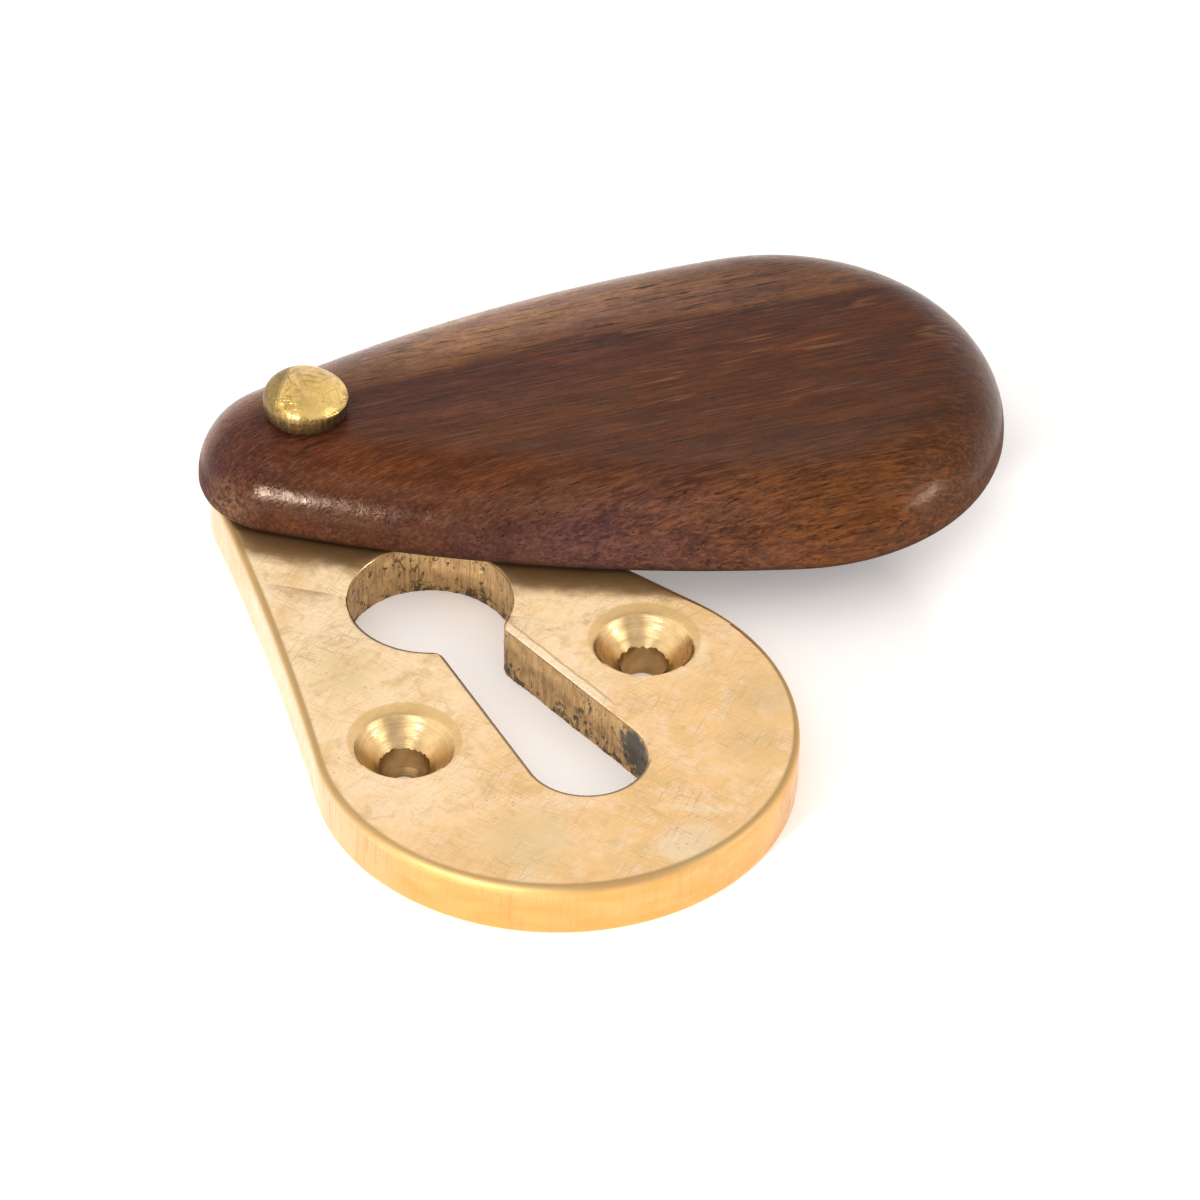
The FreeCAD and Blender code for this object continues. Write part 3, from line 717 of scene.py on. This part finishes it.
def polished_brass():
    """The plate's buffed face, its duller rounded edge and its golden side, with painted reflections
    on the edge, on the side's left and beside the cover, and painted bounce light on the side.
    """
    material, g = new_material("polished_brass")
    place = g.millimetres()
    x, y, z = g.xyz(place)
    patches = g.noise(place, 0.32, 4, 0.6, 0.6)
    smudge = g.noise(place, 0.7, 6, 0.62, 0.8)
    colour = buffed_colour(g, place, patches, smudge)
    # The buffed crescents are more golden, and no part near them counts as the rounded edge
    flat_part = g.times(g.mapped(g.absolute(x), 5.7, 5.6), g.mapped(y, -11.2, -11.0))
    keyside = flat_part
    for middle in (-SCREW_X, SCREW_X):
        gap = g.distance(place, (middle + CRESCENT_SHIFT[0], CRESCENT_SHIFT[1], THICKNESS))
        crescent = g.mapped(gap, CRESCENT_RADIUS + 0.02, CRESCENT_RADIUS - 0.12, 0.0, 0.75)
        colour = g.mix(crescent, colour, (0.76, 0.48, 0.185))
        flat_part = g.most(flat_part, g.mapped(gap, 4.2, 3.9))
    colour = slot_lip_highlight(g, place, colour)
    colour = painted_rim_reflection(g, place, keyside, colour)
    # The rounded outer edge is duller than the flat face, and painted darker: a painted dark
    # reflection along it
    shoulder_dull_and_painted_dark = g.times(g.mapped(z, THICKNESS - 0.005, THICKNESS - 0.06),
                       g.mapped(z, THICKNESS - 1.05, THICKNESS - 0.65))
    shoulder_dull_and_painted_dark = g.times(shoulder_dull_and_painted_dark, g.minus(1.0, flat_part))
    colour = g.mix(g.times(shoulder_dull_and_painted_dark, 0.9), colour, (0.44, 0.285, 0.115))
    # The side is painted a deeper gold, partly standing in for the warm light that side and floor
    # bounce to each other, and paler on the left, a painted reflection
    streak = g.grained((3, 3, 0.8), 3)
    side_gold_and_bounce = g.mix(g.mapped(streak, 0.35, 0.65), (0.87, 0.505, 0.20), (0.81, 0.435, 0.14))
    left = g.mapped(g.dot(place, (-0.8, 0.35, 0.0)), 8.0, 13.0)
    side_gold_and_bounce = g.mix(left, side_gold_and_bounce, (0.84, 0.63, 0.42))
    colour = g.mix(g.mapped(z, THICKNESS - 0.2, THICKNESS - EDGE_ROUND), colour, side_gold_and_bounce)
    scratches = g.scratches(((0.6, 3), (-0.9, 9), (1.9, 14), (0.1, 31)), 3.5, 0.08, 3, 0.6,
                            0.56, 0.68)
    wear_and_glare = g.mapped(g.noise(place, 0.25, 3), 0.35, 0.6, 0.15, 1.0)
    scratches = g.times(scratches, wear_and_glare)
    colour = g.mix(g.times(scratches, 0.65), colour, (0.53, 0.35, 0.155))
    # Beside and beneath the cover the face is painted dull and olive: a painted reflection of the
    # dark cover, with rougher, slightly less metallic brass there
    beyond = beyond_cover(g, place)
    ragged = g.times(g.minus(g.noise(place, 0.35, 3, 0.5), 0.5), 2.2)
    cover_reflection_paint = g.times(g.mapped(g.plus(beyond, ragged), 2.9, 1.5),
                    g.mapped(z, THICKNESS - 0.3, THICKNESS - 0.05))
    colour = g.mix(g.times(cover_reflection_paint, 0.9), colour, (0.27, 0.155, 0.055))
    roughness = g.plus(g.mapped(smudge, 0.35, 0.75, 0.13, 0.3), g.times(scratches, 0.12))
    roughness = g.most(roughness, g.times(shoulder_dull_and_painted_dark, 0.6))
    roughness = g.most(roughness, g.times(cover_reflection_paint, 0.36))
    metallic = g.minus(1.0, g.times(cover_reflection_paint, 0.08))
    normal = g.bump(g.noise(place, 0.28, 2, 0.4), 0.35, 0.00025)
    normal = g.bump(g.noise(place, 2.0, 3), 0.1, 0.00003, normal)
    # The face falls away a little from the cover, which shortens the cover's reflection
    normal = g.bump(g.mapped(beyond, 0.0, 5.0), 1.0, -0.0005, normal)
    g.surface({"Base Color": colour, "Metallic": metallic, "Roughness": roughness,
               "Normal": normal})
    return material


def cast_brass():
    """The keyhole's walls: tan, with pits, upright tool streaks and one dark stain."""
    material, g = new_material("cast_brass")
    place = g.millimetres()
    z = g.xyz(place)[2]
    tone = g.noise(place, 0.8, 4, 0.6)
    streaks = g.grained((0.16, 0.16, 2.5), 3, 0.6)
    colour = g.ramp(g.mapped(tone, 0.3, 0.7), [
        (0.0, (0.42, 0.26, 0.115)), (0.5, (0.57, 0.37, 0.17)), (1.0, (0.69, 0.46, 0.225))])
    colour = g.mix(g.mapped(streaks, 0.48, 0.68, 0.0, 0.75), colour, (0.26, 0.165, 0.075))
    # Pits gather low on the walls and in clusters
    pits = g.grained((0.42, 0.42, 0.6), 5, 0.72, 0.5)
    clusters = g.mapped(g.noise(place, 0.55, 2, 0.5), 0.42, 0.62, 0.0, 0.09)
    pits = g.plus(pits, g.plus(g.mapped(z, 1.4, 0.0, 0.0, 0.11), clusters))
    pits = g.mapped(pits, 0.62, 0.68)
    colour = g.mix(g.times(pits, 0.85), colour, (0.055, 0.045, 0.03))
    stain = g.plus(g.distance(place, STAIN), g.times(g.noise(place, 1.6, 5, 0.7), 3.2))
    colour = g.mix(g.mapped(stain, 3.6, 3.1, 0.0, 0.9), colour, (0.06, 0.065, 0.065))
    normal = g.bump(pits, 0.5, -0.00008)
    normal = g.bump(streaks, 0.3, 0.00004, normal)
    g.surface({"Base Color": colour, "Metallic": 0.85, "Roughness": 0.47, "Normal": normal})
    return material


def turned_brass(name, colour, roughness):
    """Brass cut with a drill, with the tool's rings about each screw hole."""
    material, g = new_material(name)
    place = g.millimetres()
    x, y, _ = g.xyz(place)
    x = g.minus(x, g.times(g.math("SIGN", x), SCREW_X))
    flat = g.add("CombineXYZ", {"X": x, "Y": y}).outputs[0]
    radius = g.distance(flat, (0, 0, 0))
    rings = g.noise(g.add("CombineXYZ", {"X": radius}).outputs[0], 7.0, 3, 0.7)
    stain = g.noise(place, 1.3, 3)
    tint = g.mix(g.mapped(stain, 0.4, 0.65), colour, tuple(c * 0.82 for c in colour))
    tint = g.mix(g.mapped(rings, 0.45, 0.75, 0.0, 0.45), tint, tuple(c * 0.5 for c in colour))
    # The near side of each hole, which mirrors its own far side, is painted dark: painted shade and
    # a painted dark reflection
    near_side_shade = g.math("DIVIDE", g.dot(flat, NEAR_WAY), radius)
    tint = g.mix(g.mapped(near_side_shade, -0.45, 0.2), tint, (0.43, 0.30, 0.135))
    normal = g.bump(rings, 1.0, 0.00005)
    g.surface({"Base Color": tint, "Metallic": 1.0, "Roughness": roughness, "Normal": normal})
    return material


def tarnished_brass():
    """The rivet: a cap painted brightest on one side, a painted highlight, above a dull band with
    upright streaks.
    """
    material, g = new_material("tarnished_brass")
    place = g.millimetres()
    z = g.xyz(place)[2]
    cloud = g.noise(place, 0.55, 3, 0.5, 0.4)
    colour = g.ramp(g.mapped(cloud, 0.3, 0.7), [
        (0.0, (0.60, 0.38, 0.09)), (0.5, (0.76, 0.50, 0.15)), (1.0, (0.84, 0.55, 0.23))])
    smudge = g.mapped(g.noise(place, 1.0, 4, 0.62, 0.8), 0.46, 0.63, 0.0, 0.7)
    colour = g.mix(smudge, colour, (0.38, 0.25, 0.09))
    # A painted highlight towards one side of the cap
    wear_and_glare = g.along(place, HIGHLIGHT_WAY, HEAD_CENTRE)
    colour = g.mix(g.mapped(wear_and_glare, 0.1, 1.5, 0.0, 0.7), colour, (0.97, 0.66, 0.23))
    # The worn cap ends at a crease; what lies outside it, on the near side, has tarnished
    patchy = g.times(g.noise(place, 1.3, 4, 0.65), 0.5)
    above = g.plus(g.along(place, CAP_LEAN, HEAD_CENTRE), patchy)
    band = g.mapped(above, CAP_EDGE + 0.3, CAP_EDGE + 0.15)
    left = g.along(place, CREASE_WAY, HEAD_CENTRE)
    left = g.plus(left, g.times(g.minus(patchy, 0.25), 0.5))
    left = g.minus(left, CREASE_REACH)
    band = g.most(band, g.mapped(left, 0.0, 0.12, 0.0, 0.85))
    band = g.most(g.times(band, 0.85), g.mapped(z, HEAD_RIM + 0.2, HEAD_RIM))
    streaks = g.grained((0.2, 0.2, 1.8), 3, 0.6)
    dull = g.mix(g.mapped(streaks, 0.35, 0.7), (0.12, 0.078, 0.031), (0.29, 0.195, 0.075))
    colour = g.mix(band, colour, dull)
    # Painted shade: the head darkens towards its seat on the wood
    foot_darkening = g.mapped(z, HEAD_SEAT + 0.35, HEAD_SEAT, 0.0, 0.7)
    colour = g.mix(foot_darkening, colour, (0.06, 0.04, 0.02))
    lines = g.scratches(((0.35, 21), (1.3, 27), (2.4, 33)), 2.2, 0.07, 2, 0.5, 0.63, 0.71)
    dents = g.mapped(g.noise(place, 1.4, 5, 0.7), 0.57, 0.66, 0.0, 0.8)
    crease = g.mapped(g.absolute(g.plus(left, 0.03)), 0.07, 0.02, 0.0, 0.8)
    marks = g.most(g.most(lines, dents), crease)
    colour = g.mix(g.times(marks, 0.75), colour, (0.20, 0.13, 0.05))
    normal = g.bump(g.noise(place, 0.9, 3), 0.6, 0.00022)
    normal = g.bump(marks, 0.5, -0.00004, normal)
    roughness = g.plus(g.mapped(cloud, 0.3, 0.7, 0.27, 0.33), g.times(band, 0.15))
    g.surface({"Base Color": colour, "Metallic": 1.0, "Roughness": roughness, "Normal": normal})
    return material


def figured_wood(g, place, across, grain, bend):
    """Rosewood's colour, from its broad bands down to its fibres."""
    _, y, z = g.xyz(place)
    # Broad bands across the grain; the stops towards the far edge are also painted lighter, a
    # painted glare
    wood = g.ramp(g.mapped(across, -20.0, 10.0), [
        (0.00, (0.112, 0.048, 0.028)), (0.20, (0.094, 0.036, 0.019)),
        (0.34, (0.080, 0.022, 0.006)), (0.50, (0.082, 0.022, 0.004)),
        (0.64, (0.070, 0.019, 0.010)), (0.695, (0.060, 0.017, 0.011)),
        (0.715, (0.120, 0.048, 0.022)), (0.85, (0.160, 0.072, 0.038)),
        (1.00, (0.165, 0.076, 0.042))])
    # Painted glare: a pale pinkish-tan patch over the pale band
    wear_and_glare = g.times(g.mapped(across, 1.5, 8.0), g.mapped(y, -26.0, -8.0))
    wood = g.mix(g.times(wear_and_glare, 0.75), wood, (0.52, 0.32, 0.22))
    # The wide end is browner, and brown and purple take turns over the rest
    ripe = g.times(g.mapped(y, -20.0, -34.0), g.mapped(across, 2.0, -2.0))
    wood = g.mix(ripe, wood, g.mix(1.0, wood, (0.86, 0.74, 0.40), "MULTIPLY"))
    hue = grain((2.2, 9.0, 3.0), 3, 0.55, 0.5, shift=(3, 8, 0))
    wood = g.tinted(wood, hue, 0.38, 0.62, [
        (0.0, (0.95, 0.94, 1.15)), (1.0, (1.05, 1.05, 0.88))])
    layers = g.add("CombineXYZ", {"X": across, "Y": g.times(y, 0.05), "Z": g.times(z, 0.5)})
    wood = g.tinted(wood, g.noise(layers.outputs[0], 0.55, 4, 0.6), 0.3, 0.7, [
        (0.0, (0.74, 0.72, 0.80)), (0.5, (0.98, 0.98, 0.98)), (1.0, (1.22, 1.24, 1.16))])
    wood = g.tinted(wood, grain((1.3, 4.0, 1.3), 4, 0.6), 0.35, 0.65, [
        (0.0, (0.82, 0.80, 0.84)), (1.0, (1.18, 1.16, 1.12))])
    figure = grain((0.34, 2.6, 0.5), 4, 0.62, 0.4, shift=(5, 2, 1))
    wood = g.tinted(wood, figure, 0.36, 0.66, [
        (0.0, (0.86, 0.84, 0.86)), (0.5, (0.98, 0.98, 0.98)), (1.0, (1.18, 1.15, 1.12))])
    wood = g.tinted(wood, grain((0.16, 0.5, 0.2), 3, 0.7, shift=(1, 6, 4)), 0.34, 0.66, [
        (0.0, (0.78, 0.76, 0.78)), (1.0, (1.22, 1.22, 1.20))])
    fibre = grain((0.13, 4.5, 0.25), 4, 0.65)
    wood = g.mix(g.mapped(fibre, 0.5, 0.72, 0.0, 0.5), wood, (0.20, 0.085, 0.042))
    wood = g.mix(g.mapped(fibre, 0.46, 0.3, 0.0, 0.55), wood, (0.028, 0.010, 0.008))
    # Pale wavy lines towards the wide end
    wavy = grain((0.8, 14.0, 2.0), 2, 0.5, 0.3)
    wavy = g.mapped(g.absolute(g.minus(wavy, 0.55)), 0.03, 0.008)
    where = g.times(g.mapped(y, -8.0, -14.0), g.mapped(across, -11.0, -8.0))
    where = g.times(where, g.mapped(g.noise(place, 0.3, 2), 0.4, 0.6))
    wood = g.mix(g.times(g.times(wavy, where), 0.75), wood, (0.21, 0.09, 0.045))
    # Flecks in the figured wood along the near edge, orange towards the wide end
    figured = g.mapped(g.plus(across, g.times(bend, 6.0)), -8.0, -13.0)
    broad = g.mapped(y, 0.0, -10.0, 0.3, 1.0)
    flecks = grain((0.22, 2.6, 0.3), 4, 0.65, 0.5)
    flecks = g.times(g.mapped(flecks, 0.48, 0.62), g.plus(figured, 0.08))
    wood = g.mix(g.times(g.times(flecks, broad), 0.7), wood, (0.22, 0.080, 0.034))
    dashes = grain((0.25, 1.4, 0.3), 3, 0.6, 0.5, shift=(7, 3, 5))
    dashes = g.times(g.mapped(dashes, 0.56, 0.66), figured)
    wood = g.mix(g.times(dashes, 0.55), wood, (0.030, 0.010, 0.008))
    # The dark part is warm, and cooler towards the narrow end
    wood = g.tinted(wood, across, -20.0, 10.0, [
        (0.0, (0.86, 0.78, 0.60)), (0.2, (0.86, 0.76, 0.58)), (0.4, (0.90, 0.77, 0.55)),
        (0.68, (0.92, 0.80, 0.62)), (0.75, (1.0, 0.97, 0.94))])
    shade = g.tinted(wood, y, -34.0, -6.0, [
        (0.0, (0.88, 0.84, 0.70)), (0.45, (0.90, 0.86, 0.75)), (1.0, (1.02, 1.14, 1.6))])
    return g.mix(g.mapped(across, 2.0, -2.0), wood, shade), fibre


def rosewood():
    """Oiled rosewood. The grain runs along the cover, a few degrees off its middle line."""
    material, g = new_material("rosewood")
    turn = SWING + GRAIN

    def grain(size, *shape, shift=(0, 0, 0)):
        """Noise with a size across the grain, along it and in depth."""
        return g.grained(size, *shape, turn=turn, shift=shift)

    place = g.millimetres(turn, shift=(-GRAIN_X, 0, 0))
    bend = grain((7, 22, 7), 3, 0.5)
    x, y, _ = g.xyz(place)
    across = g.plus(x, g.times(g.minus(bend, 0.5), 3.0))
    wood, fibre = figured_wood(g, place, across, grain, bend)
    # Pores lie closer together in the pale band
    sparse = g.mapped(g.noise(place, 0.14, 2), 0.35, 0.6, 0.04, 0.0)
    sparse = g.minus(sparse, g.mapped(across, -4.0, 4.0, 0.0, 0.04))
    pores = g.mapped(g.minus(grain((0.09, 2.2, 0.2), 2, 0.5), sparse), 0.635, 0.675)
    wood = g.mix(g.times(pores, 0.85), wood, (0.010, 0.005, 0.003))
    # The rolled edge carries a painted purple-grey sheen beside the narrow end, and darkens along
    # its foot
    own = g.millimetres()
    height = g.xyz(own)[2]
    purple_sheen = g.times(g.mapped(height, THICKNESS + 5.5, THICKNESS + 3.0),
                     g.mapped(y, -22.0, -12.0))
    purple_sheen = g.times(purple_sheen, g.mapped(across, 2.0, -2.0))
    wood = g.mix(purple_sheen, wood, g.mix(1.0, wood, (0.76, 0.84, 1.2), "MULTIPLY"))
    foot_darkening = g.mapped(height, THICKNESS + 0.75, THICKNESS + 0.1, 0.0, 0.75)
    wood = g.mix(foot_darkening, wood, (0.012, 0.006, 0.003))
    # The narrow end is scuffed low on its near side
    scuff = g.plus(g.distance(own, TIP_SCUFF), g.times(g.noise(own, 1.1, 4, 0.65), 3.0))
    scuff = g.mapped(scuff, 4.0, 2.2)
    speck = g.mapped(g.noise(own, 3.2, 4, 0.7), 0.4, 0.62)
    wood = g.mix(g.times(g.times(scuff, speck), 0.6), wood, (0.25, 0.125, 0.060))
    chips = g.times(g.mapped(g.noise(own, 1.7, 5, 0.7), 0.54, 0.62), scuff)
    wood = g.mix(g.times(chips, 0.85), wood, (0.025, 0.012, 0.008))
    normal = g.bump(pores, 0.6, -0.00006)
    normal = g.bump(fibre, 0.2, 0.00004, normal)
    normal = g.bump(g.noise(place, 4.0, 4, 0.65), 0.5, 0.00003, normal)
    normal = g.bump(g.noise(place, 0.3, 2), 0.4, 0.0003, normal)
    roughness = g.mapped(g.noise(place, 1.6, 5, 0.75), 0.35, 0.65, 0.13, 0.29)
    roughness = g.most(roughness, g.mapped(height, THICKNESS + 2.7, THICKNESS + 1.6, 0.0, 0.6))
    g.surface({"Base Color": wood, "Roughness": roughness, "Specular IOR Level": 0.18,
               "Normal": normal, "Specular Tint": (1.0, 0.74, 0.56)})
    return material


def build_floor():
    """A pale floor that cameras and reflections see as white, and that keeps the shadow."""
    mesh = bpy.data.meshes.new("floor")
    corners = ((-1, -1), (1, -1), (1, 1), (-1, 1))
    mesh.from_pydata([(x * FLOOR_HALF, y * FLOOR_HALF, -FLOOR_DROP) for x, y in corners], [],
                     [(0, 1, 2, 3)])
    floor = bpy.data.objects.new("floor", mesh)
    bpy.context.scene.collection.objects.link(floor)
    material, g = new_material("floor_white")
    path = g.add("LightPath")
    seen = g.most(path.outputs["Is Camera Ray"], path.outputs["Is Glossy Ray"])
    seen = g.most(seen, path.outputs["Is Transmission Ray"])
    colour = g.mix(seen, (0.84, 0.83, 0.82), (0.955, 0.90, 0.855))
    shader = g.add("BsdfDiffuse", {"Color": colour})
    glow = g.add("Emission", {"Strength": g.times(seen, 0.21)})
    both = g.add("AddShader", {0: shader.outputs[0], 1: glow.outputs[0]})
    g.add("OutputMaterial", {"Surface": both.outputs[0]})
    mesh.materials.append(material)


def heading(azimuth, elevation):
    """A unit vector; azimuth 0 is on the -Y side and +90 on the +X side."""
    azimuth, elevation = math.radians(azimuth), math.radians(elevation)
    return Vector((math.sin(azimuth) * math.cos(elevation),
                   -math.cos(azimuth) * math.cos(elevation), math.sin(elevation)))


def build_world():
    """A pale studio: white above and behind, dimmer on the camera's side, with soft boxes."""
    world = bpy.data.worlds.new("studio")
    bpy.context.scene.world = world
    world.use_nodes = True
    g = Graph(world.node_tree)
    direction = g.add("TexCoord").outputs["Generated"]
    toward = g.dot(direction, (-0.57, -0.82, 0.0))
    colour = g.mix(g.mapped(toward, -0.6, 0.6), (1.05, 1.055, 1.06), (0.42, 0.41, 0.40))
    for azimuth, elevation, rim, core, share, level, blend in SOFT_BOXES:
        near = g.dot(direction, heading(azimuth, elevation))
        colour = g.mix(g.mapped(near, rim, core, 0.0, share), colour, (level,) * 3, blend)
    seen = g.add("LightPath").outputs["Is Camera Ray"]
    colour = g.mix(seen, colour, (1.0, 1.0, 1.0))
    background = g.add("Background", {"Color": colour, "Strength": 1.0})
    g.add("OutputWorld", {"Surface": background.outputs[0]})


def add_lamp(name, azimuth, elevation, size, power):
    """A square soft lamp that points at the object."""
    light = bpy.data.lights.new(name, "AREA")
    light.shape = "SQUARE"
    light.size = size
    light.energy = power
    lamp = bpy.data.objects.new(name, light)
    bpy.context.scene.collection.objects.link(lamp)
    away = heading(azimuth, elevation)
    lamp.location = Vector(LAMP_TARGET) + away * LAMP_DISTANCE
    lamp.rotation_euler = away.to_track_quat("Z", "Y").to_euler()


def add_camera():
    """The photograph's camera: a long lens that looks down from the front left."""
    roll = math.radians(CAMERA_ROLL)
    back = heading(CAMERA_AZIMUTH, CAMERA_ELEVATION)
    right = Vector((-back.y, back.x, 0)).normalized()
    up = back.cross(right)
    right, up = (math.cos(roll) * right + math.sin(roll) * up,
                 math.cos(roll) * up - math.sin(roll) * right)
    data = bpy.data.cameras.new("camera")
    data.sensor_width = CAMERA_SENSOR
    data.lens = CAMERA_LENS
    data.clip_start = 0.01
    camera = bpy.data.objects.new("camera", data)
    bpy.context.scene.collection.objects.link(camera)
    place = Matrix((right, up, back)).transposed().to_4x4()
    place.translation = Vector(CAMERA_TARGET) * MM + back * CAMERA_DISTANCE * MM
    camera.matrix_world = place
    bpy.context.scene.camera = camera


machined = turned_brass("machined_brass", (0.95, 0.64, 0.31), 0.25)
drilled = turned_brass("drilled_brass", (0.64, 0.41, 0.18), 0.42)
build_plate([polished_brass(), cast_brass(), machined, drilled])
build_cover(rosewood())
build_rivet(tarnished_brass())
build_floor()
build_world()
add_lamp("lamp_right", 43, 10, 0.05, 0.75)
add_lamp("lamp_left", -68, 12, 0.035, 2.7)
add_camera()
bpy.context.scene.view_settings.view_transform = "Standard"
